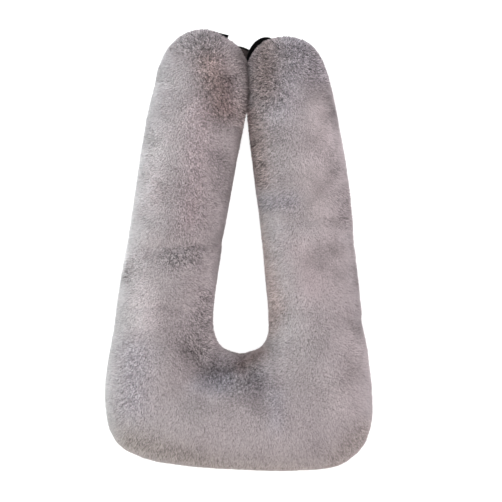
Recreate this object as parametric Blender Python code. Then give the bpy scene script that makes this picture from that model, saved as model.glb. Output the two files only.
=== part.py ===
"""U-shaped travel pillow: a stuffed plush body that lies on its back, and three webbing straps.

Metres, +Z up. The pillow rests on Z = 0, its legs point along +Y and its bend lies at -Y. The origin
is the centre of the underside of the bounding box. The tables are in millimetres.
"""
from collections import namedtuple

import bmesh
import bpy
import numpy as np
from mathutils import Matrix, Vector

MM = 0.001

# The body is a filled tube bent into a U. An upright section stands between each pair of edge points.
SECTION_FULLNESS = 2.2    # exponent of the section's closed curve: 2 is an ellipse, more is fuller
SEAM_LEVEL = 0.45         # height of the side seam, as a share of the section's height
SEAM_DEPTH = 3.0          # how far the seam draws the side in
SETTLE = 5.0              # how far the filling spreads on the surface it lies on
FLOOR_ROUNDING = 2.5      # radius where the underside leaves that surface
LEG_GAP = 1.2             # between the legs where they touch
POINTS_PER_SECTION = 32
SECTION_SPACING = 12.0    # along the middle of the body
SECTIONS_PER_END = 7

# The inside of the bend is an arc. A turn of 180 degrees is its left end, 360 degrees its right end.
BEND_CENTRE = (3.0, -105.5)
BEND_RADIUS = 37.5

Section = namedtuple("Section", "outer_x outer_y inner_x inner_y height")
Turned = namedtuple("Turned", "outer_x outer_y turn height")
End = namedtuple("End", "length fullness")
Fold = namedtuple("Fold", "path half_width depth")
Strip = namedtuple("Strip", "x y z tilt")

LEFT_LEG = (
    Section(-113, 229, 14, 222, 103),
    Section(-121, 197, 12, 203, 106),
    Section(-126, 171, 9, 181, 108),
    Section(-134, 122, -5, 106, 108),
    Section(-149, 21, -22, 2, 108),
    Section(-165, -70, -34, -84, 109),
)
BEND = (
    Turned(-171, -118, 183, 110),
    Turned(-179, -164, 204, 111),
    Turned(-181, -212, 221, 110),
    Turned(-168, -257, 236, 107),
    Turned(-134, -282, 250, 108),
    Turned(-76, -293, 261, 111),
    Turned(4, -299, 270, 112),
    Turned(84, -300, 280, 111),
    Turned(136, -294, 292, 108),
    Turned(166, -272, 305, 107),
    Turned(180, -237, 319, 109),
    Turned(181, -196, 334, 111),
    Turned(176, -152, 354, 110),
)
RIGHT_LEG = (
    Section(169, -108, 40, -89, 109),
    Section(161, -28, 36, -42, 108),
    Section(156, 19, 32, 4, 107),
    Section(145, 111, 21, 96, 108),
    Section(136, 161, 13, 165, 108),
    Section(128, 206, 11.5, 200, 106),
    Section(120, 238, 14, 224, 102),
)
LEFT_END = End(length=74.3, fullness=1.95)
RIGHT_END = End(length=58, fullness=2.3)

# Folds press the upper side in along a path. A negative depth raises the skin.
FOLDS = (
    Fold(((-62, -134), (-57, -153), (-39, -164), (-17, -164), (6, -148)), 15, 7),
    Fold(((6, -154), (23, -171), (30, -204)), 14, 4),
    Fold(((-44, -118), (-30, -141)), 13, -4),
    Fold(((-120, 0), (-87, 5), (-46, 10), (-28, 14)), 13, 5),
    Fold(((-8, 242), (-23, 214), (-32, 179)), 16, 5),
    Fold(((18, 258), (40, 269), (51, 244)), 15, 3),
    Fold(((42, 38), (135, 45)), 12, 3),
    Fold(((146, 15), (160, 19)), 9, 4),
    Fold(((144, -90), (174, -100)), 11, 3),
)

# The straps are flat webbing. A tilt of 0 lies on its face, and 90 stands on its edge.
WEBBING_WIDTH = 20.0
WEBBING_THICKNESS = 1.5
WEBBING_STEP = 4.0
STRAP_RIGHT = (
    Strip(53.5, 285.1, 21.5, 110),
    Strip(43.4, 286.8, 27, 96),
    Strip(34.2, 285.2, 33, 72),
    Strip(25.5, 279, 37, 59),
    Strip(18.7, 269.7, 34, 62),
    Strip(14.3, 258.6, 27, 84),
    Strip(13.7, 248, 22, 90),
    Strip(14.5, 236, 20, 90),
)
STRAP_LEFT = (
    Strip(-11.5, 270.5, 11.3, 0),
    Strip(1, 270.5, 6.5, 0),
    Strip(8, 268, 4.3, 0),
    Strip(20, 262, 2, 0),
    Strip(32, 257, 1.3, 0),
)
STRAP_TAIL = (
    Strip(-33, 272.5, 7.4, 0),
    Strip(-28.4, 284.3, 16.8, 0),
    Strip(-23.5, 295.2, 34, 0),
)

PLUSH_COLOUR = (0.41, 0.385, 0.395)
WEBBING_COLOUR = (0.012, 0.012, 0.013)


def clear_scene():
    for obj in list(bpy.data.objects):
        bpy.data.objects.remove(obj, do_unlink=True)


def material(name, colour, roughness):
    made = bpy.data.materials.new(name)
    made.use_nodes = True
    shader = made.node_tree.nodes["Principled BSDF"]
    shader.inputs["Base Color"].default_value = (*colour, 1.0)
    shader.inputs["Roughness"].default_value = roughness
    shader.inputs["Metallic"].default_value = 0.0
    return made


def add_object(name, bm, finish):
    """A new object in the scene, shaded smooth, its faces turned outwards."""
    bmesh.ops.recalc_face_normals(bm, faces=bm.faces)
    mesh = bpy.data.meshes.new(name)
    bm.to_mesh(mesh)
    bm.free()
    mesh.shade_smooth()
    mesh.materials.append(finish)
    obj = bpy.data.objects.new(name, mesh)
    bpy.context.scene.collection.objects.link(obj)
    return obj


def smooth_rows(rows, at, spacing, first=None, last=None):
    """Cubic curves through the columns of rows, met at the distances at, read every spacing or so."""
    slopes = np.gradient(rows, at, axis=0)
    if first is not None:
        slopes[0, :len(first)] = first
    if last is not None:
        slopes[-1, :len(last)] = last
    wanted = np.linspace(at[0], at[-1], int(round((at[-1] - at[0]) / spacing)) + 1)
    span = np.clip(np.searchsorted(at, wanted, side="right") - 1, 0, len(at) - 2)
    length = (at[span + 1] - at[span])[:, None]
    t = ((wanted - at[span])[:, None]) / length
    return ((2 * t**3 - 3 * t**2 + 1) * rows[span] + (t**3 - 2 * t**2 + t) * length * slopes[span]
            + (3 * t**2 - 2 * t**3) * rows[span + 1] + (t**3 - t**2) * length * slopes[span + 1])


def edge_rows():
    """The body's rows from the left end to the right: outer x, y, inner x, y, height."""
    half_gap = np.array([0.0, 0.0, LEG_GAP / 2, 0.0, 0.0])
    left = np.array(LEFT_LEG, float) - half_gap
    right = np.array(RIGHT_LEG, float) + half_gap
    turns = np.radians([row.turn for row in BEND])
    bend = np.column_stack([
        [row.outer_x for row in BEND],
        [row.outer_y for row in BEND],
        BEND_CENTRE[0] + BEND_RADIUS * np.cos(turns),
        BEND_CENTRE[1] + BEND_RADIUS * np.sin(turns),
        [row.height for row in BEND],
    ])
    return np.vstack([left, bend, right])


def end_direction(row, side):
    """Straight out of a leg's last section. side is 1 where outer to inner turns left to point out."""
    across = row[2:4] - row[0:2]
    out = side * np.array([-across[1], across[0]])
    return out / np.linalg.norm(out)


def section_angles():
    """Angles that space the points of a section evenly, with one at the seam on each side."""
    fine = np.linspace(0, 2 * np.pi, 2001)
    curve = np.column_stack([signed_power(np.cos(fine)), signed_power(np.sin(fine))])
    length = np.concatenate([[0], np.cumsum(np.linalg.norm(np.diff(curve, axis=0), axis=1))])
    return np.interp(np.arange(POINTS_PER_SECTION) / POINTS_PER_SECTION * length[-1], length, fine)


def signed_power(values, fullness=SECTION_FULLNESS):
    return np.sign(values) * np.abs(values) ** (2 / fullness)


def section_points(row, angles, shrink=1.0, shift=(0.0, 0.0)):
    """One closed section, and for each point its core and how much it belongs to the upper side."""
    outer, inner, height = row[0:2], row[2:4], row[4]
    across, up = signed_power(np.cos(angles)), signed_power(np.sin(angles))
    seam = SEAM_LEVEL * height
    reach = np.where(up > 0, height - seam, seam + SETTLE)
    middle = (outer + inner) / 2 + np.array(shift)
    half = (outer - inner) / 2
    drawn_in = 1 - SEAM_DEPTH / np.linalg.norm(half) * (np.abs(up) < 0.01)
    plan = middle + np.outer(across * drawn_in * shrink, half)
    points = np.column_stack([plan, seam + reach * up * shrink])
    cores = np.tile([*middle, seam], (len(angles), 1))
    return points, cores, np.clip((up + 0.2) / 0.6, 0, 1)


def end_sections(row, end, direction, angles):
    """The shrinking sections of a rounded end, from the leg outwards."""
    tilts = np.arange(1, SECTIONS_PER_END) / SECTIONS_PER_END * np.pi / 2
    return [
        section_points(row, angles, np.cos(tilt) ** (2 / end.fullness),
                       direction * end.length * np.sin(tilt) ** (2 / end.fullness))
        for tilt in tilts
    ]


def distance_to_path(points, path):
    """The distance in plan from each point to a path of straight stretches."""
    nearest = np.full(len(points), np.inf)
    for start, stop in zip(np.array(path, float)[:-1], np.array(path, float)[1:]):
        along = stop - start
        share = np.clip((points - start) @ along / (along @ along), 0, 1)
        nearest = np.minimum(nearest, np.linalg.norm(points - start - np.outer(share, along), axis=1))
    return nearest


def press_folds(points, cores, upper):
    push = sum(fold.depth * np.exp(-(distance_to_path(points[:, :2], fold.path) / fold.half_width) ** 2)
               for fold in FOLDS)
    inward = cores - points
    return points + inward / np.linalg.norm(inward, axis=1)[:, None] * (push * upper)[:, None]


def settle_on_floor(points):
    """Flattens the underside where it rests, with a small rounding at the rim of the flat."""
    z = points[:, 2]
    rounded = (z + FLOOR_ROUNDING) ** 2 / (4 * FLOOR_ROUNDING)
    points[:, 2] = np.where(z < -FLOOR_ROUNDING, 0, np.where(z < FLOOR_ROUNDING, rounded, z))
    return points


def make_pillow(finish):
    rows = edge_rows()
    left_out, right_out = end_direction(rows[0], 1), end_direction(rows[-1], -1)
    steps = np.linalg.norm(np.diff(rows[:, 0:2], axis=0), axis=1)
    steps = (steps + np.linalg.norm(np.diff(rows[:, 2:4], axis=0), axis=1)) / 2
    at = np.concatenate([[0], np.cumsum(steps)])
    body = smooth_rows(rows, at, SECTION_SPACING, np.tile(-left_out, 2), np.tile(right_out, 2))
    angles = section_angles()
    sections = (end_sections(body[0], LEFT_END, left_out, angles)[::-1]
                + [section_points(row, angles) for row in body]
                + end_sections(body[-1], RIGHT_END, right_out, angles))
    points, cores, upper = (np.concatenate(column) for column in zip(*sections))
    points = settle_on_floor(press_folds(points, cores, upper))
    tips = [pole(body[0], LEFT_END, left_out), pole(body[-1], RIGHT_END, right_out)]

    bm = bmesh.new()
    verts = [bm.verts.new(Vector(point) * MM) for point in points]
    rings = [verts[i:i + POINTS_PER_SECTION] for i in range(0, len(verts), POINTS_PER_SECTION)]
    for ring, following in zip(rings, rings[1:]):
        for i in range(POINTS_PER_SECTION):
            bm.faces.new((ring[i - 1], ring[i], following[i], following[i - 1]))
    for ring, tip in zip((rings[0], rings[-1]), tips):
        top = bm.verts.new(Vector(tip) * MM)
        for i in range(POINTS_PER_SECTION):
            bm.faces.new((ring[i - 1], ring[i], top))
    return add_object("pillow", bm, finish)


def pole(row, end, direction):
    """The furthest point of a rounded end."""
    return np.array([*((row[0:2] + row[2:4]) / 2 + direction * end.length), SEAM_LEVEL * row[4]])


def make_strap(name, route, finish):
    """A closed strip of webbing along the middle line that the route gives."""
    rows = np.array(route, float)
    at = np.concatenate([[0], np.cumsum(np.linalg.norm(np.diff(rows[:, :3], axis=0), axis=1))])
    rows = smooth_rows(rows, at, WEBBING_STEP)
    headings = np.gradient(rows[:, :3], axis=0)
    bm = bmesh.new()
    rings = []
    for row, heading in zip(rows, headings):
        ahead = Vector(heading).normalized()
        level = ahead.cross(Vector((0, 0, 1))).normalized()
        across = Matrix.Rotation(np.radians(row[3]), 3, ahead) @ level
        face = across.cross(ahead)
        corners = ((-1, -1), (1, -1), (1, 1), (-1, 1))
        rings.append([
            bm.verts.new((Vector(row[:3]) + across * (a * WEBBING_WIDTH / 2)
                          + face * (b * WEBBING_THICKNESS / 2)) * MM)
            for a, b in corners
        ])
    for ring, following in zip(rings, rings[1:]):
        for i in range(4):
            bm.faces.new((ring[i - 1], ring[i], following[i], following[i - 1]))
    bm.faces.new(rings[0])
    bm.faces.new(rings[-1])
    return add_object(name, bm, finish)


def main():
    clear_scene()
    make_pillow(material("plush", PLUSH_COLOUR, 0.95))
    for name, route in (("strap_right", STRAP_RIGHT), ("strap_left", STRAP_LEFT),
                        ("strap_tail", STRAP_TAIL)):
        make_strap(name, route, material(f"{name}_webbing", WEBBING_COLOUR, 0.7))


main()
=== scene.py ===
# %% [markdown]
# # A u-shaped travel pillow in plush
# The real object is one long bag of short plush, stuffed tight with fibre and bent into a U. Three
# bits of webbing strap show between and beside its two tips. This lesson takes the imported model, whose
# solids have the right size and place, and gives each of them the surface that the real one has.
# Lengths are metres, +Z is up, the legs point along +Y, and the pillow lies on its back on Z = 0.

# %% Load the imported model
from collections import namedtuple

import bpy
import numpy as np
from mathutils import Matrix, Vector


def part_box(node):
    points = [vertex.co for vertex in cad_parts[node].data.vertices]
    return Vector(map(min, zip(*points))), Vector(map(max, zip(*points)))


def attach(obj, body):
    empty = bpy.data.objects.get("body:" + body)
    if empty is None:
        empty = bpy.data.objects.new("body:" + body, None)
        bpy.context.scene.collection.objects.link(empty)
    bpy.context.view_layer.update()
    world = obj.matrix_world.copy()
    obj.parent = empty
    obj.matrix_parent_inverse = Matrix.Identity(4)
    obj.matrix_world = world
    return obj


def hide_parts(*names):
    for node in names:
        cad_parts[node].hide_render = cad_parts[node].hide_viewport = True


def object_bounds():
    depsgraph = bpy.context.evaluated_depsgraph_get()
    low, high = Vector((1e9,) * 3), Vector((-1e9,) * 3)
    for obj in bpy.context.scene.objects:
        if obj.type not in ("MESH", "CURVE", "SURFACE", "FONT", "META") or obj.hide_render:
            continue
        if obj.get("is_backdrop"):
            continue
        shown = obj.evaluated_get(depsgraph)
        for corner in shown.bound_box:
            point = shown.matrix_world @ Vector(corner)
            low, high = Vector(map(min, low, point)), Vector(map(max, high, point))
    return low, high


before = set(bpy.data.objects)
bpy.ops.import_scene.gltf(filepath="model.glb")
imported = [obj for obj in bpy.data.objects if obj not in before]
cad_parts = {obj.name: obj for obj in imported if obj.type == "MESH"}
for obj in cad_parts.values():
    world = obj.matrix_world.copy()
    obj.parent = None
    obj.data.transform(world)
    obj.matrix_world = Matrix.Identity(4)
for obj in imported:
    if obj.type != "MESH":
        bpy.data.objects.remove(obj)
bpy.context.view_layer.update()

# %% [markdown]
# ## Hands
# Blender's operators work on whatever is selected, as they do for someone at the screen. So every
# step first says which object it means. A modifier is added, set and applied in one go, which leaves
# a plain mesh that the next step can work on.

# %% Select one object, apply one modifier
MM = 0.001


def only(obj):
    """Selects this object alone and makes it the active one."""
    bpy.ops.object.select_all(action="DESELECT")
    obj.select_set(True)
    bpy.context.view_layer.objects.active = obj
    return obj


def apply_modifier(obj, kind, **settings):
    only(obj)
    modifier = obj.modifiers.new(kind.lower(), kind)
    for setting, value in settings.items():
        setattr(modifier, setting, value)
    bpy.ops.object.modifier_apply(modifier=modifier.name)


def edit(obj, *steps, faces=None):
    """Runs edit-mode steps on the whole of one mesh, or on the faces that are picked out."""
    only(obj)
    bpy.ops.object.mode_set(mode="EDIT")
    bpy.ops.mesh.select_mode(type="FACE")
    bpy.ops.mesh.select_all(action="SELECT" if faces is None else "DESELECT")
    if faces is not None:
        bpy.ops.object.mode_set(mode="OBJECT")
        obj.data.polygons.foreach_set("select", faces)
        bpy.ops.object.mode_set(mode="EDIT")
    for step in steps:
        step()
    bpy.ops.object.mode_set(mode="OBJECT")


def points_of(mesh):
    points = np.empty(len(mesh.vertices) * 3, np.float32)
    mesh.vertices.foreach_get("co", points)
    return points.reshape(-1, 3)


def put_points(mesh, points):
    mesh.vertices.foreach_set("co", np.ascontiguousarray(points, np.float32).ravel())
    mesh.update()


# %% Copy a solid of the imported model
def merged_copy(node, name):
    """A node's mesh is loose triangles, so the copy is merged into one skin."""
    obj = bpy.data.objects.new(name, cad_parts[node].data.copy())
    bpy.context.scene.collection.objects.link(obj)
    edit(obj, lambda: bpy.ops.mesh.remove_doubles(threshold=0.01 * MM))
    return obj


# %% [markdown]
# ## The stuffed cover
# Under the pile lies the knitted backing of the plush, pulled tight over the filling. The solid of the
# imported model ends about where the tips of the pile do. The tufts are 4.5 mm long but lie over, so the
# backing is only 1.5 mm deeper than the solid. It could be the solid itself, moved in, but that is too
# even. A cloth simulation with pressure inside swells it, as the filling does, and gives the slight
# unevenness of cloth over fibre. It swells a few millimetres only, so it starts that much smaller.

# %% Sink the skin below the pile and remesh it evenly
PILE = 1.5 * MM           # how deep the backing lies below the surface of the solid
SWELL = 3.5 * MM          # how much smaller than that it starts
VOXEL = 6.0 * MM

cover = merged_copy("pillow", "cover")
apply_modifier(cover, "DISPLACE", strength=-(PILE + SWELL), mid_level=0)
apply_modifier(cover, "REMESH", mode="VOXEL", voxel_size=VOXEL, use_smooth_shade=True)
print("cover after the remesh:", len(cover.data.polygons), "faces")

# %% Swell it with pressure
PRESSURE = 4.0
LAST_FRAME = 20
MOST_SWELL = 5.0 * MM


def swell(obj):
    before = points_of(obj.data)
    only(obj)
    bpy.ops.object.modifier_add(type="CLOTH")
    cloth = obj.modifiers[-1]
    cloth.settings.use_pressure = True
    cloth.settings.uniform_pressure_force = PRESSURE
    cloth.settings.effector_weights.gravity = 0
    for frame_number in range(1, LAST_FRAME + 1):
        bpy.context.scene.frame_set(frame_number)
    bpy.ops.object.modifier_apply(modifier=cloth.name)
    bpy.context.scene.frame_set(1)
    moved = points_of(obj.data) - before
    far = np.linalg.norm(moved, axis=1, keepdims=True)
    put_points(obj.data, before + moved * (MOST_SWELL / np.maximum(far, MOST_SWELL)))
    print("the cover swelled by", round(1000 * float(np.median(far)), 1), "mm")


swell(cover)
apply_modifier(cover, "SUBSURF", levels=1, render_levels=1)

# %% Bring it back to one depth below the tips of the pile
HOLD = 0.85               # how much of the way each point goes back


def hold_depth(obj):
    """Pressure rounds a tube, which pulls its sides in, so the skin is drawn back towards the solid."""
    solid = merged_copy("pillow", "solid")
    group = obj.vertex_groups.new(name="held")
    group.add(range(len(obj.data.vertices)), HOLD, "REPLACE")
    apply_modifier(obj, "SHRINKWRAP", target=solid, wrap_method="NEAREST_SURFACEPOINT",
                   wrap_mode="ABOVE_SURFACE", offset=-PILE, vertex_group="held")
    apply_modifier(obj, "SMOOTH", factor=0.5, iterations=3)
    obj.vertex_groups.clear()
    bpy.data.objects.remove(solid)


hold_depth(cover)

# %% Lay its underside on the surface
UNDERSIDE = 0.8 * MM      # the height of the backing where the pillow lies on its pile

points = points_of(cover.data)
points[:, 2] = np.maximum(points[:, 2], UNDERSIDE)
put_points(cover.data, points)
print("cover:", len(cover.data.polygons), "faces, top at", round(1000 * float(points[:, 2].max())), "mm")

# %% [markdown]
# ## Creases
# The filling is pushed aside in a few places: a hooked crease under the inside of the bend, one
# across the left leg, and shallower ones. The solid has the broad folds. A crease is the narrow line
# in one, which the remesh and the swelling would blur, so it is pressed in after them. Each is a short
# path in plan, with a width and a depth. The skin's points near the path are weighted, and a Displace
# modifier moves just those.

# %% Press the creases into the top of the cover
Crease = namedtuple("Crease", "path half_width depth")      # all in millimetres
UPPER_SIDE = 60 * MM      # from this height up a crease has its whole depth
LEAST_WEIGHT = 0.01       # a point with less stays where it is

CREASES = (
    Crease(((-61, -133), (-55, -151), (-38, -161), (-17, -163), (4, -157)), 8, 3.0),
    Crease(((6, -158), (23, -170), (30, -200)), 8, 2.0),
    Crease(((-118, 0), (-85, 5), (-45, 9), (-27, 13)), 7, 2.0),
    Crease(((-57, 63), (-65, 29)), 8, 2.0),
    Crease(((-137, -77), (-100, -73), (-54, -82)), 5, 1.8),
    Crease(((-7, 237), (-22, 211), (-31, 176)), 9, 2.0),
    Crease(((18, 253), (39, 264), (50, 240)), 9, 1.5),
    Crease(((138, -87), (158, -94)), 6, 1.2),
    Crease(((-118, -243), (-65, -264)), 7, 1.5),
    Crease(((-45, -197), (-18, -216)), 8, 1.5),
)


def distance_to_path(plan, path):
    """The distance in plan from each point to a path of straight stretches."""
    corners = np.array(path, float)
    nearest = np.full(len(plan), np.inf)
    for start, stop in zip(corners[:-1], corners[1:]):
        along = stop - start
        share = np.clip((plan - start) @ along / (along @ along), 0, 1)
        nearest = np.minimum(nearest, np.linalg.norm(plan - start - np.outer(share, along), axis=1))
    return nearest


def nearness(points, path, half_width):
    """How near each point of the upper side is to a path, from 0, far off, to 1, on it."""
    near = np.exp(-(distance_to_path(points[:, :2] / MM, path) / half_width) ** 2)
    return near * np.clip(points[:, 2] / UPPER_SIDE, 0, 1)


def push(obj, weights, distance):
    """Moves the weighted points out along their normals, or in where the distance is negative."""
    group = obj.vertex_groups.new(name="pushed")
    for i in np.flatnonzero(weights > LEAST_WEIGHT):
        group.add([int(i)], float(weights[i]), "REPLACE")
    apply_modifier(obj, "DISPLACE", strength=distance, mid_level=0, vertex_group="pushed")
    obj.vertex_groups.clear()


for crease in CREASES:
    push(cover, nearness(points_of(cover.data), crease.path, crease.half_width), -crease.depth * MM)

# %% [markdown]
# ## Fuller and flatter places
# Where the legs press on each other, their sides are squashed and the groove between them closes. In
# other places the filling stands out a millimetre or two, or is thin. Such a place could be sculpted
# by hand. A path with a width, as a crease has, is easier to read and to change.

# %% Push the sides of the cover out and in
# A place starts at the height low and is whole when it has risen by rise. All are in millimetres, and a
# negative out makes a flatter place.
Bulge = namedtuple("Bulge", "path half_width out low rise")

BULGES = (
    # where the legs press on each other
    Bulge(((0, 279), (8, 268), (13.5, 252), (13.5, 222), (12, 198)), 11, 2.8, 10, 10),
    Bulge(((35, 288), (22, 271), (13.5, 252)), 9, 2.0, 10, 10),
    # the tips lean towards each other over the webbing
    Bulge(((-4, 282), (6, 271), (12, 252), (12, 238)), 9, 1.4, 36, 8),
    Bulge(((42, 289), (26, 273), (17, 254), (15, 238)), 9, 2.2, 36, 8),
    # the inside of the bend
    Bulge(((-8, -142), (3, -147), (15, -144)), 13, 4.0, 10, 10),
    # the outer sides of both legs
    Bulge(((-113, 232), (-136, 100), (-161, -36)), 12, 0.7, 5, 10),
    Bulge(((122, 232), (152, 50), (172, -130)), 12, 1.7, 5, 10),
    # flatter places on the right side, and on the tips' far sides
    Bulge(((157, 5), (163, -62)), 12, -1.2, 5, 10),
    Bulge(((82, 286), (106, 266)), 12, -1.6, 5, 10),
    Bulge(((-22, 291), (-6, 284)), 9, -1.8, 5, 10),
    # a fuller near left corner, and a flatter near side with a rounder right corner
    Bulge(((-174, -238), (-157, -270)), 14, 0.9, 5, 10),
    Bulge(((-140, -280), (-115, -286), (-40, -296), (60, -300), (140, -296), (163, -278)), 12, -2.0, 5, 10),
)

for bulge in BULGES:
    points = points_of(cover.data)
    near = np.exp(-(distance_to_path(points[:, :2] / MM, bulge.path) / bulge.half_width) ** 2)
    risen = np.clip((points[:, 2] / MM - bulge.low) / bulge.rise, 0, 1)
    push(cover, near * risen, bulge.out * MM)

# %% [markdown]
# ## Brushed places
# Where a hand or a fold has brushed the pile against its lie, it stands up, its tufts part, and the eye
# looks down between them. Where it was smoothed down, it is finer and more even. Each such place is a
# short path with a soft edge and three words, for its nap, its shade and its hue. The finish darkens
# ruffled pile by itself, so the shade is what the place has beyond that. The shade and hue are partly
# the pile's own tone and partly painted light and shade: lighter where the lamps leave the pile too
# dim, darker in the groove between the legs, under the neck and along the near edge. The places could
# be painted on the cover, but words in a table can be read and changed. What they come to is worked
# out once, on the cover, and every tuft takes its own from there.

# %% Name the naps, shades and hues, and the places that have them
# each word stands for what the pile's ruffle, its lightness or its colour is multiplied by, and
# the lightness and colour words hold painted light and shade as well as the pile's own tone
NAP = {"combed": 0.75, "smooth": 1.0, "ruffled": 1.4, "brushed": 2.0, "tousled": 2.8}
TONE_AND_PAINTED_LIGHT = {"black": 0.3, "dark": 0.75, "dim": 0.85, "even": 1.0, "lit": 1.2, "light": 1.35, "pale": 1.5}
HUE = {
    "grey": (1.0, 1.0, 1.0), "pink": (1.03, 0.98, 0.99), "brown": (1.08, 0.96, 0.91),
    "fawn": (1.0, 0.99, 0.94), "blue": (0.97, 1.0, 1.04),
}

Brushed = namedtuple("Brushed", "path half_width nap shade hue")

BRUSHED = (
    # the left tip: brushed up on top and along the inner side, smooth beside them, with a painted
    # highlight on the strip beside the groove
    Brushed(((-65, 280), (-35, 280)), 22, "brushed", "light", "grey"),
    Brushed(((-40, 250), (-20, 190)), 18, "tousled", "lit", "brown"),
    Brushed(((-5, 245), (5, 175)), 11, "ruffled", "pale", "grey"),
    Brushed(((-85, 250), (-70, 180)), 22, "smooth", "lit", "grey"),
    Brushed(((-45, 240), (-25, 260)), 13, "smooth", "light", "grey"),
    Brushed(((-15, 225), (-15, 190)), 9, "ruffled", "even", "pink"),
    # painted shade in the groove where the legs press on each other, deep and dark
    Brushed(((12, 250), (14, 235), (14, 220), (13, 205), (11, 190)), 4, "combed", "black", "grey"),
    # the left leg: smooth outside, brushed inside and in its crease
    Brushed(((-100, 150), (-115, 65)), 20, "smooth", "light", "grey"),
    Brushed(((-50, 185), (-65, 45)), 20, "ruffled", "lit", "pink"),
    Brushed(((-25, 90), (-25, 125)), 13, "ruffled", "even", "grey"),
    Brushed(((-85, -10), (-65, -5)), 17, "brushed", "light", "grey"),
    Brushed(((-135, -15), (-120, -90)), 24, "smooth", "light", "grey"),
    Brushed(((-40, -70), (-60, -130)), 22, "brushed", "light", "grey"),
    # the bend: a deep shadow under the neck, smooth corners, brushed along the near edge
    Brushed(((-25, -165), (20, -175)), 23, "brushed", "even", "blue"),
    Brushed(((-45, -160), (-70, -135)), 13, "smooth", "dark", "grey"),
    Brushed(((-55, -180), (-20, -180)), 13, "smooth", "lit", "blue"),
    Brushed(((5, -160), (30, -135)), 13, "smooth", "dim", "brown"),
    Brushed(((50, -230), (50, -195)), 13, "smooth", "lit", "blue"),
    Brushed(((-135, -140), (-140, -205)), 24, "ruffled", "light", "blue"),
    Brushed(((150, -130), (130, -205)), 24, "smooth", "lit", "grey"),
    Brushed(((-145, -255), (-75, -275), (-10, -295), (115, -300), (170, -245)),
            18, "ruffled", "even", "fawn"),
    # the near side turns away from the light below its widest line
    Brushed(((-110, -285), (-60, -292), (50, -298), (110, -297)), 3.5, "combed", "dim", "grey"),
    # the right tip: brushed up all over
    Brushed(((35, 275), (35, 215)), 20, "tousled", "even", "brown"),
    Brushed(((70, 280), (110, 240)), 22, "brushed", "light", "blue"),
    Brushed(((65, 230), (55, 190)), 24, "ruffled", "light", "blue"),
    # the right leg: brown and brushed along its inner edge, smooth outside
    Brushed(((20, 180), (30, 95)), 15, "brushed", "even", "brown"),
    Brushed(((15, 60), (50, -75), (40, -105)), 15, "ruffled", "even", "brown"),
    Brushed(((35, 65), (70, 65)), 13, "ruffled", "even", "blue"),
    Brushed(((115, 180), (115, 95)), 24, "combed", "light", "grey"),
    Brushed(((90, 100), (120, 25)), 18, "combed", "lit", "grey"),
    Brushed(((140, 80), (140, 45)), 12, "ruffled", "even", "grey"),
    Brushed(((120, -5), (135, -35)), 24, "combed", "lit", "grey"),
    Brushed(((80, 0), (95, -50)), 24, "combed", "even", "pink"),
    Brushed(((145, -50), (155, -90)), 14, "smooth", "dim", "grey"),
)

# %% Work out the nap, and the tint with its painted light and shade, at every point of the cover
USUAL_RUFFLE = 0.84       # how ruffled the pile is where nothing brushed it
MOST_RUFFLED = 2.1


def brush_and_paint_light(obj):
    points = points_of(obj.data)
    tints_with_painted_light = np.ones((len(points), 4), np.float32)
    rough = np.full(len(points), USUAL_RUFFLE, np.float32)
    for place in BRUSHED:
        near = nearness(points, place.path, place.half_width)
        # a place's tint is partly the pile's own tone and partly painted light and shade
        tint = TONE_AND_PAINTED_LIGHT[place.shade] * np.array(HUE[place.hue])
        tints_with_painted_light[:, :3] *= tint[None, :] ** near[:, None]
        rough *= NAP[place.nap] ** near
    nap = obj.data.attributes.new("nap", "FLOAT_COLOR", "POINT")
    nap.data.foreach_set("color", tints_with_painted_light.ravel())
    ruffled = obj.data.attributes.new("ruffled", "FLOAT", "POINT")
    ruffled.data.foreach_set("value", np.minimum(rough, MOST_RUFFLED))
    print("darkest brushed place keeps", round(float(tints_with_painted_light[:, :3].min()), 2), "of its colour")


brush_and_paint_light(cover)

# %% [markdown]
# ## Node trees as expressions
# Both the planting of the pile and the finishes are node trees. Written out socket by socket, such a
# tree is long and hard to read, so one small class stands for a socket, and maths on it adds the
# node that does the sum. Any other node comes from one method.

# %% A socket that can be added, multiplied and compared
def is_wide(value):
    """Whether a value has three parts, as a vector or a colour has."""
    return isinstance(value, tuple) or isinstance(value, Wire) and value.socket.type in ("VECTOR", "RGBA")


class Wire:
    """An output socket. Maths on wires adds Math or Vector Math nodes to their tree."""

    def __init__(self, graph, socket):
        self.graph = graph
        self.socket = socket

    def beside(self, name):
        """Another output of the same node."""
        return Wire(self.graph, self.socket.node.outputs[name])

    def sum_of(self, operation, *values):
        wide = [is_wide(value) for value in values]
        if operation == "MULTIPLY" and sum(wide) == 1:
            return self.graph.add("ShaderNodeVectorMath", {"operation": "SCALE"},
                                  {0: values[wide.index(True)], "Scale": values[wide.index(False)]})
        kind = "ShaderNodeVectorMath" if any(wide) else "ShaderNodeMath"
        return self.graph.add(kind, {"operation": operation}, dict(enumerate(values)))

    def __add__(self, other):
        return self.sum_of("ADD", self, other)

    def __radd__(self, other):
        return self.sum_of("ADD", other, self)

    def __sub__(self, other):
        return self.sum_of("SUBTRACT", self, other)

    def __rsub__(self, other):
        return self.sum_of("SUBTRACT", other, self)

    def __mul__(self, other):
        return self.sum_of("MULTIPLY", self, other)

    def __rmul__(self, other):
        return self.sum_of("MULTIPLY", other, self)

    def __pow__(self, other):
        return self.sum_of("POWER", self, other)

    def exponential(self):
        return self.sum_of("EXPONENT", self)

    def sine(self):
        return self.sum_of("SINE", self)

    def at_least(self, other):
        return self.sum_of("MAXIMUM", self, other)

    def at_most(self, other):
        return self.sum_of("MINIMUM", self, other)


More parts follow.
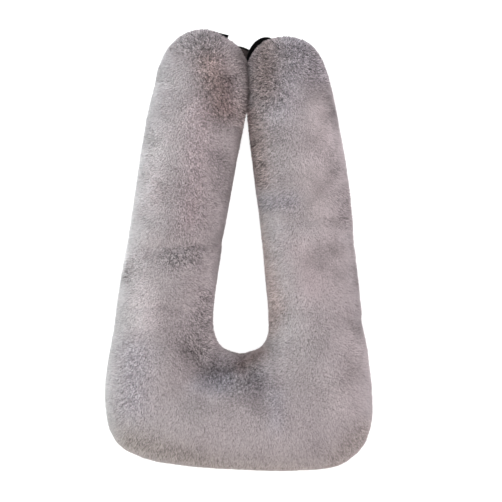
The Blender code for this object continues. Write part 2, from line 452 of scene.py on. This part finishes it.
class Graph:
    """A node tree, filled from expressions."""

    def __init__(self, tree):
        self.tree = tree
        tree.nodes.clear()

    def add(self, kind, settings=None, inputs=None, output=0):
        node = self.tree.nodes.new(kind)
        for name, value in (settings or {}).items():
            setattr(node, name, value)
        for key, value in (inputs or {}).items():
            if isinstance(value, Wire):
                self.tree.links.new(value.socket, node.inputs[key])
            else:
                node.inputs[key].default_value = value
        return Wire(self, node.outputs[output]) if len(node.outputs) else node

    def vector(self, operation, *values):
        return self.add("ShaderNodeVectorMath", {"operation": operation}, dict(enumerate(values)))

    def axes(self, vector):
        """The X, Y and Z of a vector, as three wires."""
        x = self.add("ShaderNodeSeparateXYZ", inputs={"Vector": vector})
        return x, x.beside("Y"), x.beside("Z")

    def noise(self, place, size, detail=2.0, output="Fac"):
        """Soft noise whose features are about size metres across."""
        return self.add("ShaderNodeTexNoise", inputs={"Vector": place, "Scale": 1 / size, "Detail": detail},
                        output=output)

    def blend(self, share, first, second):
        """One colour fading into another."""
        return self.add("ShaderNodeMix", {"data_type": "RGBA"}, {0: share, 6: first, 7: second}, output=2)


# %% [markdown]
# ## One tuft of pile
# Plush is cut pile: fine fibres, each a few millimetres long, that cling together in tapering tufts
# and lie over to one side. A tuft is modelled once, as a narrow kite folded over the middle: thin at
# its root, widest below the middle, and drawn to a point. It could be a rounded blade, but two
# triangles are enough, because from 3 m a tuft is narrower than a pixel, and it takes several hundred
# thousand to cover the pillow.

# %% Model the tuft
TUFT_LENGTH = 4.5 * MM
TUFT_WIDTH = 0.8 * MM
BELLY = 0.42        # where it is widest, as a share of its length
ARCH = 0.13         # how far it bows outwards there


def make_tuft():
    bpy.ops.mesh.primitive_plane_add(size=1)
    tuft = bpy.context.active_object
    tuft.name = "tuft"
    edit(tuft, lambda: bpy.ops.mesh.quads_convert_to_tris())
    put_points(tuft.data, [
        (0, 0, 0),
        (TUFT_WIDTH / 2, ARCH * TUFT_LENGTH, BELLY * TUFT_LENGTH),
        (-TUFT_WIDTH / 2, ARCH * TUFT_LENGTH, BELLY * TUFT_LENGTH),
        (0, 0, TUFT_LENGTH),
    ])
    height = tuft.data.attributes.new("height", "FLOAT", "POINT")
    height.data.foreach_set("value", points_of(tuft.data)[:, 2] / TUFT_LENGTH)
    only(tuft)
    bpy.ops.object.shade_smooth()
    return tuft


tuft = make_tuft()
print("tuft:", len(tuft.data.polygons), "triangles")

# %% [markdown]
# ## Webbing
# The straps are flat woven tape, 20 mm wide. Each is modelled lying flat, as a grid whose long rows are
# raised in turn into the ribs of the weave, and thickened. A Curve modifier then lays it along the
# route that its solid follows, turning it on edge where it stands up between the tips. It could be a
# strip of simulated cloth, but a route puts it surely where the solid is.

# %% Model each strap flat and lay it along its route
# lengths here are in millimetres, as the routes are, and a tilt is in degrees
WEBBING_WIDTH = 20.0
WEBBING_THICKNESS = 1.3
RIBS = 9
RIB_HEIGHT = 0.35
STEP_ALONG = 2.0
CURVE_STEPS = 16          # straight steps of the guide between two points of a route

Strip = namedtuple("Strip", "x y z tilt")

STRAP_ROUTES = {
    "strap_right": (
        Strip(53.5, 285.1, 21.5, 110),
        Strip(43.4, 286.8, 27, 96),
        Strip(34.2, 285.2, 33, 72),
        Strip(25.5, 279, 37, 59),
        Strip(18.7, 269.7, 34, 62),
        Strip(14.3, 258.6, 27, 84),
        Strip(13.7, 248, 22, 90),
        Strip(14.5, 236, 20, 90),
    ),
    "strap_left": (
        Strip(-11.5, 270.5, 11.3, 0),
        Strip(1, 270.5, 6.5, 0),
        Strip(8, 268, 4.3, 0),
        Strip(20, 262, 2, 0),
        Strip(32, 257, 1.3, 0),
    ),
    "strap_tail": (
        Strip(-33, 272.5, 7.4, 0),
        Strip(-28.4, 284.3, 16.8, 0),
        Strip(-22.5, 297.2, 37, 0),
    ),
}
SLANTED_CUT = {"strap_tail": 6.5}     # how much shorter one edge is cut than the other


def route_curve(name, route):
    """A smooth curve through the route, whose tilt turns what follows it."""
    curve = bpy.data.curves.new(name, "CURVE")
    curve.dimensions = "3D"
    curve.twist_mode = "Z_UP"
    curve.resolution_u = CURVE_STEPS
    spline = curve.splines.new("BEZIER")
    spline.bezier_points.add(len(route) - 1)
    for point, strip in zip(spline.bezier_points, route):
        point.co = (strip.x * MM, strip.y * MM, strip.z * MM)
        point.handle_left_type = point.handle_right_type = "AUTO"
        point.tilt = -np.radians(strip.tilt)
    obj = bpy.data.objects.new(name, curve)
    bpy.context.scene.collection.objects.link(obj)
    bpy.context.view_layer.update()
    return obj, spline.calc_length()


def stretch_map(strap, length):
    """Makes the map's unit one width of webbing both ways, so that one weave suits every length."""
    layer = strap.data.uv_layers.active.uv
    places = np.empty(len(layer) * 2, np.float32)
    layer.foreach_get("vector", places)
    places[::2] *= length / (WEBBING_WIDTH * MM)
    layer.foreach_set("vector", places)


def make_strap(node, route):
    guide, length = route_curve(f"{node}_route", route)
    across = 2 * RIBS
    along = round(length / (STEP_ALONG * MM))
    bpy.ops.mesh.primitive_grid_add(x_subdivisions=along, y_subdivisions=across, size=1)
    strap = bpy.context.active_object
    strap.name = f"{node}_webbing"
    strap.data.name = strap.name
    points = points_of(strap.data)
    rows = np.round((points[:, 1] + 0.5) * across).astype(int)
    raised = np.where(rows % 2 == 1, RIB_HEIGHT * MM, 0)
    edge_length = length - SLANTED_CUT.get(node, 0) * MM * (points[:, 1] + 0.5)
    put_points(strap.data, np.column_stack([
        (points[:, 0] + 0.5) * edge_length, points[:, 1] * WEBBING_WIDTH * MM, raised,
    ]))
    stretch_map(strap, length)
    apply_modifier(strap, "SOLIDIFY", thickness=WEBBING_THICKNESS * MM, offset=0)
    apply_modifier(strap, "SUBSURF", levels=1, render_levels=1)
    apply_modifier(strap, "CURVE", object=guide, deform_axis="POS_X")
    bpy.data.objects.remove(guide)
    only(strap)
    bpy.ops.object.shade_smooth()
    return strap, length


straps = {}
for node, route in STRAP_ROUTES.items():
    strap, length = make_strap(node, route)
    straps[node] = strap
    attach(strap, "root")
    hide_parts(node)
    low, high = points_of(strap.data).min(0), points_of(strap.data).max(0)
    solid_low, solid_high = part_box(node)
    print(f"{node}: {1000 * length:.0f} mm long, corners off the solid's by mm",
          [round(1000 * float(a - b), 1) for a, b in zip((*low, *high), (*solid_low, *solid_high))])

# %% [markdown]
# ## Planting the pile
# On the real cloth the pile leans the way it was combed, and hands, packing and the filling's lumps
# have pushed it about since. It could be grown as hair, but hair isn't a mesh that others can use. So
# Geometry Nodes scatters points on the backing, turns and scales a tuft on each, and makes them real.
# A tuft's direction is a sum: mostly outwards, then along the comb, then wandering by soft noise, and
# last a pull towards the middle of its own lock, because tufts cling together. The smaller of these
# pushes are stronger where the pile is ruffled.

# %% Scatter the points that tufts grow on
TUFTS_PER_M2 = 1.3e6
LEAST_SHARE = 0.3         # of them grow on the underside, where the pillow lies on them
UPRIGHT_SHARE = 2.0       # over 1, so that the pile is whole until the skin has turned well down
SHARE_SLOPE = 2.5
SEEDS = {"points": 3, "stray": 7, "size": 5, "tint": 9}


def scatter(graph, skin):
    up = graph.axes(graph.add("GeometryNodeInputNormal"))[2]
    share = (up * SHARE_SLOPE + UPRIGHT_SHARE).at_least(LEAST_SHARE).at_most(1.0)
    return graph.add(
        "GeometryNodeDistributePointsOnFaces", {"distribute_method": "RANDOM"},
        {"Mesh": skin, "Density": share * TUFTS_PER_M2, "Seed": SEEDS["points"]}, output="Points")


def random_number(graph, low, high, purpose):
    """A number of its own for every tuft."""
    return graph.add("FunctionNodeRandomValue", {"data_type": "FLOAT"},
                     {2: low, 3: high, "Seed": SEEDS[purpose]}, output=1)


# %% Part the pile at the seam, and press it down at the webbing
SEAM_HEIGHT = 48.5 * MM
SEAM_REACH = 5.0 * MM     # how far from the side seam the pile still turns away from it
SEAM_TURN = 0.45
SEAM_TRIM = 0.25          # how much shorter it is there
STRAP_REACH = 4.0 * MM    # nearer the webbing than this, the pile is pressed down
PRESSED = 0.45            # what it keeps of its length against the webbing


def seam_and_parting(height):
    """How near the seam a tuft is, from 0 to 1, and how it turns up or down away from it."""
    above = height - SEAM_HEIGHT
    seam = (above * above * (-1 / SEAM_REACH ** 2)).exponential()
    return seam, (0.0, 0.0, 1.0) * (above * seam * (SEAM_TURN / SEAM_REACH))


def kept_length(graph):
    """The share of its length that a tuft keeps near the webbing."""
    kept = 1.0
    for strap in straps.values():
        webbing = graph.add("GeometryNodeObjectInfo", inputs={"Object": strap}, output="Geometry")
        away = graph.add("GeometryNodeProximity", inputs={0: webbing}, output="Distance")
        kept = (away * (1 / STRAP_REACH)).at_least(PRESSED).at_most(kept)
    return kept


# %% Gather the tufts into locks
LOCK_SIZE = 1.0 * MM
LOCK_STRETCH = 1.4        # how much longer a lock is along the comb than across it
LOCK_PULL = 140.0         # for each metre from the middle of the lock
LOCK_LEAN = 0.3           # how far a whole lock leans its own way
MIDDLE_GREY = (0.5, 0.5, 0.5)       # taken off a random colour, to leave a push that goes any way


def locks(graph, place):
    """The pull to the middle of a tuft's lock, the lock's own lean, and how far off its middle is."""
    squeezed = place * (1.0, 1 / LOCK_STRETCH, 1.0)
    middle = graph.add("ShaderNodeTexVoronoi", {"feature": "F1"},
                       {"Vector": squeezed, "Scale": 1 / LOCK_SIZE}, output="Position")
    pull = (middle - squeezed) * (LOCK_PULL, LOCK_PULL * LOCK_STRETCH, LOCK_PULL)
    lean = (middle.beside("Color") - MIDDLE_GREY) * LOCK_LEAN
    return pull, lean, middle.beside("Distance")


# %% Add up each tuft's direction
LIFT = 0.8                # straight out from the skin
COMB = 0.35               # from the tips towards the bend, as it was combed
SAG = 0.2                 # down
SWIRL = 0.8               # slow wandering,
SWIRL_SIZE = 45 * MM
RUFFLE = 0.2              # finer wandering,
RUFFLE_SIZE = 11 * MM
STRAY = 0.25              # and each tuft's own
LEAST_OUTWARDS = 0.45     # a tuft that lies flatter than this is lifted


def drift(graph, place, size, strength):
    """A push that wanders softly over the skin."""
    return (graph.noise(place, size, detail=1.0, output="Color") - MIDDLE_GREY) * strength


def tuft_direction(graph, place, out, ruffled, parting, pull, lock_lean):
    swirl = drift(graph, place, SWIRL_SIZE, SWIRL)
    ruffle = drift(graph, place, RUFFLE_SIZE, RUFFLE)
    stray = graph.add("FunctionNodeRandomValue", {"data_type": "FLOAT_VECTOR"},
                      {0: (-STRAY, -STRAY, -STRAY), 1: (STRAY, STRAY, STRAY), "Seed": SEEDS["stray"]})
    pushes = (ruffle + stray + pull + lock_lean * ruffled) * ruffled
    lean = (0.0, -COMB, -SAG) + swirl + parting + pushes
    direction = graph.vector("NORMALIZE", out * LIFT + lean)
    outwards = graph.add("ShaderNodeVectorMath", {"operation": "DOT_PRODUCT"},
                         {0: direction, 1: out}, output="Value")
    return graph.vector("NORMALIZE", direction + out * (LEAST_OUTWARDS - outwards).at_least(0.0))


# %% Size each tuft
SMALLEST = 0.7
LARGEST = 1.2
LONGER = 1.3              # how much larger the darkest tufts of ruffled pile on top are
LONGER_FROM = 0.7         # pile less ruffled than this has none of them
LONGER_FEW = 5.0          # the higher, the fewer of them


def tuft_size(graph, out, ruffled, tint, kept, seam):
    on_top = graph.axes(out)[2].at_least(0.0) * (ruffled - LONGER_FROM).at_least(0.0)
    larger = (1.0 - tint) ** LONGER_FEW * on_top * LONGER + 1.0
    return random_number(graph, SMALLEST, LARGEST, "size") * kept * (1.0 - seam * SEAM_TRIM) * larger


# %% Build the planting tree
MOST_LEAN = 1.3           # ruffled further than this, the pile gets darker but leans no more
LOWEST = 0.3 * MM         # nothing reaches below this, so the pillow stays on Z = 0


def planting_tree():
    tree = bpy.data.node_groups.new("plant_pile", "GeometryNodeTree")
    for way in ("INPUT", "OUTPUT"):
        tree.interface.new_socket("Geometry", in_out=way, socket_type="NodeSocketGeometry")
    graph = Graph(tree)
    planted = scatter(graph, graph.add("NodeGroupInput"))
    out = planted.beside("Normal")
    place = graph.add("GeometryNodeInputPosition")
    x, y, z = graph.axes(place)
    ruffled = graph.add("GeometryNodeInputNamedAttribute", {"data_type": "FLOAT"}, {"Name": "ruffled"})
    ruffled = ruffled.at_most(MOST_LEAN)
    seam, parting = seam_and_parting(z)
    pull, lock_lean, off_middle = locks(graph, place)
    direction = tuft_direction(graph, place, out, ruffled, parting, pull, lock_lean)
    width = graph.vector("CROSS_PRODUCT", out, direction)
    turn = graph.add("FunctionNodeAxesToRotation", {"primary_axis": "Z", "secondary_axis": "X"},
                     {"Primary Axis": direction, "Secondary Axis": width})
    tint = random_number(graph, 0.0, 1.0, "tint")
    size = tuft_size(graph, out, ruffled, tint, kept_length(graph), seam)
    model = graph.add("GeometryNodeObjectInfo", inputs={"Object": tuft}, output="Geometry")
    grown = graph.add("GeometryNodeInstanceOnPoints", inputs={
        "Points": planted, "Instance": model, "Rotation": turn, "Scale": size})
    notes = {
        "tint": ("FLOAT", tint),
        "crevice": ("FLOAT", off_middle),
        "skin_normal": ("FLOAT_VECTOR", out),
    }
    for name, (kind, value) in notes.items():
        grown = graph.add("GeometryNodeStoreNamedAttribute", {"data_type": kind, "domain": "INSTANCE"},
                          {"Geometry": grown, "Name": name, "Value": value})
    real = graph.add("GeometryNodeRealizeInstances", inputs={"Geometry": grown})
    kept_up = graph.add("ShaderNodeCombineXYZ", inputs={"X": x, "Y": y, "Z": z.at_least(LOWEST)})
    settled = graph.add("GeometryNodeSetPosition", inputs={"Geometry": real, "Position": kept_up})
    graph.add("NodeGroupOutput", inputs={"Geometry": settled})
    return tree


planting = planting_tree()
print("planting tree:", len(planting.nodes), "nodes")

# %% Plant it in six regions, so that no piece grows too large
# middle is the line between left and right, and near and far are the ends along Y, in millimetres
Region = namedtuple("Region", "side middle near far")

REGIONS = {
    "pile_left_tip": Region("left", 9, 110, 400),
    "pile_left_leg": Region("left", 9, -60, 110),
    "pile_left_bend": Region("left", 3, -400, -60),
    "pile_right_bend": Region("right", 3, -400, -60),
    "pile_right_leg": Region("right", 9, -60, 110),
    "pile_right_tip": Region("right", 9, 110, 400),
}


def lies_in(region, x, y):
    on_left = x < region.middle * MM
    on_side = on_left if region.side == "left" else ~on_left
    return on_side & (y > region.near * MM) & (y <= region.far * MM)


def plant(name, region):
    """Copies the cover's faces of one region and grows tufts on them."""
    only(cover)
    bpy.ops.object.duplicate()
    patch = bpy.context.active_object
    patch.name = patch.data.name = name
    middles = np.empty(len(patch.data.polygons) * 3, np.float32)
    patch.data.polygons.foreach_get("center", middles)
    x, y = middles.reshape(-1, 3)[:, :2].T
    edit(patch, lambda: bpy.ops.mesh.delete(type="FACE"), faces=~lies_in(region, x, y))
    apply_modifier(patch, "NODES", node_group=planting)
    return patch


piles = []
for name, region in REGIONS.items():
    pile = plant(name, region)
    piles.append(pile)
    print(name, len(pile.data.polygons), "triangles")
bpy.data.objects.remove(tuft)

# %% [markdown]
# ## Thinning the backing
# The backing needed small faces while it was creased and planted. From now on the pile hides it, so
# most of its faces can go: the whole scene then stays under a million triangles. Collapsing edges
# blurs what the points carry, so the tints are taken off first and worked out again after.

# %% Collapse the backing to fewer faces
BACKING_SHARE = 0.4       # of its triangles

for name in ("nap", "ruffled"):
    cover.data.attributes.remove(cover.data.attributes[name])
apply_modifier(cover, "DECIMATE", ratio=BACKING_SHARE)
brush_and_paint_light(cover)


def triangles(obj):
    return sum(len(face.vertices) - 2 for face in obj.data.polygons)


added = sum(triangles(obj) for obj in (cover, *piles, *straps.values()))
print("backing:", triangles(cover), "triangles, and", added, "in the whole scene")

# %% [markdown]
# ## Finishes
# The pile is a pinkish grey. Smooth pile looks like one even skin. Ruffled pile shows the roots of its
# tufts, where little light gets in, the gaps between its locks, and dark tufts among the light ones. All
# three are painted shade: the roots, the edges of the locks and some whole tufts are darker in colour.
# A pattern on the pillow's coordinates would cut across the tufts. So each tuft carries numbers that
# say where it stands and how ruffled it is, and one finish reads them. The backing is only a dark
# ground between tufts, its darkness painted shade under the pile.

# %% A fresh material and its graph
def new_finish(name, **constants):
    """A material with one Principled shader, and the graph to feed it."""
    made = bpy.data.materials.new(name)
    made.use_nodes = True
    graph = Graph(made.node_tree)
    shader = graph.tree.nodes.new("ShaderNodeBsdfPrincipled")
    output = graph.tree.nodes.new("ShaderNodeOutputMaterial")
    graph.tree.links.new(shader.outputs["BSDF"], output.inputs["Surface"])
    for socket, value in constants.items():
        shader.inputs[socket.replace("_", " ")].default_value = value
    return made, graph, shader


def feed(graph, wire, shader, socket):
    graph.tree.links.new(wire.socket, shader.inputs[socket])


def dress(obj, material):
    obj.data.materials.clear()
    obj.data.materials.append(material)


# %% The pile
# painted shade: tufts are darker towards their roots, where little light gets in
SHADED_ROOT_COLOUR = (0.30, 0.27, 0.275, 1)
TIP_COLOUR = (0.56, 0.505, 0.515, 1)
ROOT_SHOW = 0.6           # how much the roots' colour shows where the ruffle is 1
MOST_ROOT_SHOW = 0.5
BRIGHTEST = 1.1           # what the lightest tuft's colour is multiplied by
# painted shade: dark tufts in ruffled pile stand for the shadowed gaps between clumps, and locks  darken
# towards their edges, where shade falls between them
DARK_FROM = 0.42          # pile that is more ruffled than this has dark tufts
DARK_FEW = 3.0            # the higher, the fewer of them
GAP_SLOPE = 2.0           # how fast a lock darkens towards its edge,
GAP_START = 0.6           # which starts this far from its middle, divided by the slope
GAP_GROWTH = 0.5          # how much deeper the gaps get with the ruffle,
GAP_LATE = 0.2            # and how late they start to
EVENNESS = 1.5            # how much the skin's own normal counts against the tuft's, less the ruffle
LEAST_EVEN = 0.35
MOST_EVEN = 0.9


def pile_finish():
    """Ruffled pile has painted shade at its roots and lock edges. Smooth pile is lit as one even skin."""
    made, graph, shader = new_finish("plush_pile", Roughness=0.9, Sheen_Weight=0.05, Sheen_Roughness=0.5)
    height, tint, crevice, rough = (
        graph.add("ShaderNodeAttribute", {"attribute_name": name}, output="Fac")
        for name in ("height", "tint", "crevice", "ruffled"))
    nap = graph.add("ShaderNodeAttribute", {"attribute_name": "nap"}, output="Color")
    # painted shade towards each tuft's root
    tip_share = height ** (rough * rough * ROOT_SHOW).at_most(MOST_ROOT_SHOW)
    colour = graph.blend(tip_share, SHADED_ROOT_COLOUR, TIP_COLOUR)
    # painted shade: dark tufts, and darker lock edges
    dark = (1.0 - tint) ** DARK_FEW * (rough - DARK_FROM).at_least(0.0).at_most(1.0)
    edge = (crevice * GAP_SLOPE - GAP_START).at_least(0.0).at_most(1.0)
    gap_shade = edge * (rough * GAP_GROWTH - GAP_LATE).at_least(0.0)
    feed(graph, colour * nap * (BRIGHTEST - dark) * (1.0 - gap_shade), shader, "Base Color")
    skin = graph.add("ShaderNodeAttribute", {"attribute_name": "skin_normal"}, output="Vector")
    tuft_normal = graph.add("ShaderNodeNewGeometry", output="Normal")
    even = (EVENNESS - rough).at_least(LEAST_EVEN).at_most(MOST_EVEN)
    feed(graph, graph.vector("NORMALIZE", tuft_normal * (1.0 - even) + skin * even), shader, "Normal")
    return made


plush_pile = pile_finish()
print("pile finish:", len(plush_pile.node_tree.nodes), "nodes")

# %% The backing
# painted shade: the backing is a dark ground under the pile, lighter under smooth pile, where less  shade
# falls
GROUND_DARK = (0.13, 0.11, 0.11, 1)
GROUND_LIGHT = (0.24, 0.225, 0.225, 1)
GROUND_PATCH = 4 * MM
LESS_SHADE_UNDER_SMOOTH_PILE = 1.8         # how much lighter the backing is under smooth pile


def backing_finish():
    made, graph, shader = new_finish("plush_backing", Roughness=0.95)
    place = graph.add("ShaderNodeTexCoord", output="Object")
    nap = graph.add("ShaderNodeAttribute", {"attribute_name": "nap"}, output="Color")
    rough = graph.add("ShaderNodeAttribute", {"attribute_name": "ruffled"}, output="Fac")
    ground = graph.blend(graph.noise(place, GROUND_PATCH), GROUND_DARK, GROUND_LIGHT)
    # painted light: lighter under smooth pile, where less shade falls
    smooth = (1.0 - rough).at_least(0.0) * LESS_SHADE_UNDER_SMOOTH_PILE
    feed(graph, ground * nap * (smooth + 1.0), shader, "Base Color")
    return made


plush_backing = backing_finish()
print("backing finish:", len(plush_backing.node_tree.nodes), "nodes")

# %% The webbing
PICKS = 13                # threads across, in a stretch as long as the webbing is wide
TURN = 6.283              # a whole turn, in radians
# painted shade where a thread dips under the next
DIPPED_THREAD_SHADE = 0.35             # what a thread's colour keeps where it dips under the next
STITCH_HEIGHT = 0.2 * MM
STITCH_STRENGTH = 0.6
FUZZ_SIZE = 0.15          # in widths of webbing
FUZZ_DETAIL = 4.0
LEAST_WORN = 0.6          # what wear leaves of the colour at the least,
WEAR = 0.8                # and how much it varies
LEAST_FLUFF = 0.55
FLUFF_SPREAD = 0.9
LEAST_ROUGH = 0.45
ROUGH_SPREAD = 0.3
EDGE_SHARPNESS = 20.0
EDGE_SHARE = 2.0
BLACK_THREAD = (0.004, 0.004, 0.0045)
DARK_THREAD = (0.005, 0.005, 0.005)
FLUFF_COLOUR = (0.075, 0.058, 0.056)


def webbing_finish(name, thread, worn_face=None):
    """Slanted stitches in each rib. A face worn to fluff between its edges has a colour of its own."""
    made, graph, shader = new_finish(name, Specular_IOR_Level=0.15)
    woven = graph.add("ShaderNodeTexCoord", output="UV")
    along, across = graph.axes(woven)[:2]
    stitch = ((along * PICKS + across * (RIBS / 2)) * TURN).sine() * 0.5 + 0.5
    worn = graph.noise(woven, FUZZ_SIZE, FUZZ_DETAIL)
    # the stitch pattern blends in painted shade where the threads dip
    shaded_dip_colour = tuple(DIPPED_THREAD_SHADE * c for c in thread)
    colour = graph.blend(stitch, (*shaded_dip_colour, 1), (*thread, 1)) * (worn * WEAR + LEAST_WORN)
    if worn_face:
        from_edge = (across * (1.0 - across) * EDGE_SHARPNESS - EDGE_SHARE).at_least(0.0).at_most(1.0)
        fluff = worn_face * (worn * FLUFF_SPREAD + LEAST_FLUFF)
        colour = graph.blend(from_edge, colour, fluff)
    feed(graph, colour, shader, "Base Color")
    feed(graph, worn * ROUGH_SPREAD + LEAST_ROUGH, shader, "Roughness")
    bump = graph.add(
        "ShaderNodeBump",
        inputs={"Height": stitch, "Strength": STITCH_STRENGTH, "Distance": STITCH_HEIGHT},
        output="Normal")
    feed(graph, bump, shader, "Normal")
    return made


webbing_black = webbing_finish("webbing_black", BLACK_THREAD)
webbing_dark = webbing_finish("webbing_dark", DARK_THREAD, worn_face=FLUFF_COLOUR)
print("webbing finishes:", webbing_black.name, "and", webbing_dark.name)

# %% Dress every piece
dress(cover, plush_backing)
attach(cover, "root")
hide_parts("pillow")
for pile in piles:
    dress(pile, plush_pile)
    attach(pile, "root")
for node, strap in straps.items():
    dress(strap, webbing_dark if node == "strap_left" else webbing_black)
    "webbing_dark" if node == "strap_left" else "webbing_black"
print(len(piles) + len(straps) + 1, "pieces dressed")

# %% [markdown]
# ## Studio
# The floor is pale and matt, and glows a little, so that it stays white beside the pillow. Four large
# soft lamps stand low around the pillow, the strongest on its left, and a fifth is overhead, so the
# sides of the legs are lit and no shadow is hard. A sky picture could light it too, but lamps are
# easier to turn. The camera looks straight down from 3 m, as the photograph's seems to.

# %% Floor
FLOOR_SIZE = 60
FLOOR_GLOW = 0.87

bpy.ops.mesh.primitive_plane_add(size=FLOOR_SIZE)
floor = bpy.context.active_object
floor.name = "floor"
pale = new_finish("pale_floor", Roughness=0.9, Base_Color=(0.4, 0.4, 0.4, 1),
                  Emission_Color=(1, 1, 1, 1), Emission_Strength=FLOOR_GLOW)[0]
dress(floor, pale)
floor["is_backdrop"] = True
print("floor:", FLOOR_SIZE, "m across")

# %% Lights
LIGHT_DISTANCE = 2.6      # metres from the origin, which is under the middle of the pillow
LIGHT_SIZE = 1.6
WORLD_COLOUR = (0.15, 0.15, 0.15, 1)

# a bearing is in degrees from +X, and a rise in degrees from the floor
Light = namedtuple("Light", "name bearing rise watts colour")

LIGHTS = (
    Light("right", 0, 22, 38, (1.0, 0.95, 1.0)),
    Light("far_left", 135, 22, 52, (0.8, 0.9, 1.0)),
    Light("left", 180, 22, 50, (0.85, 1.0, 0.9)),
    Light("near", 270, 18, 30, (1.0, 0.95, 0.93)),
    Light("above", 0, 85, 55, (1.0, 0.92, 0.92)),
)

world = bpy.data.worlds.new("studio")
world.use_nodes = True
world.node_tree.nodes["Background"].inputs["Color"].default_value = WORLD_COLOUR
bpy.context.scene.world = world

for light in LIGHTS:
    bearing, rise = np.radians(light.bearing), np.radians(light.rise)
    place = LIGHT_DISTANCE * Vector((
        np.cos(rise) * np.cos(bearing), np.cos(rise) * np.sin(bearing), np.sin(rise)))
    bpy.ops.object.light_add(type="AREA", location=place)
    lamp = bpy.context.active_object
    lamp.name = light.name
    lamp.data.size = LIGHT_SIZE
    lamp.data.energy = light.watts
    lamp.data.color = light.colour
    lamp.rotation_euler = (-place).to_track_quat("-Z", "Y").to_euler()
bpy.context.scene.view_settings.view_transform = "Standard"
print(len(LIGHTS), "lamps of", sum(light.watts for light in LIGHTS), "W together")

# %% Camera
CAMERA_PLACE = (0.01663, -0.00136, 3.0)
VIEW_WIDTH = 0.6815             # metres across the picture, half-way up the pillow
HALF_WAY_UP = 0.05
SENSOR_WIDTH = 36               # in millimetres, as the lens is

bpy.ops.object.camera_add(location=CAMERA_PLACE, rotation=(0, 0, 0))
camera = bpy.context.active_object
camera.data.sensor_width = SENSOR_WIDTH
camera.data.lens = SENSOR_WIDTH * (CAMERA_PLACE[2] - HALF_WAY_UP) / VIEW_WIDTH
bpy.context.scene.camera = camera
print("camera lens:", round(camera.data.lens), "mm")

# %% Measure and finish
low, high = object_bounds()
print("visual box in mm:", [round(1000 * x) for x in (*low, *high)])
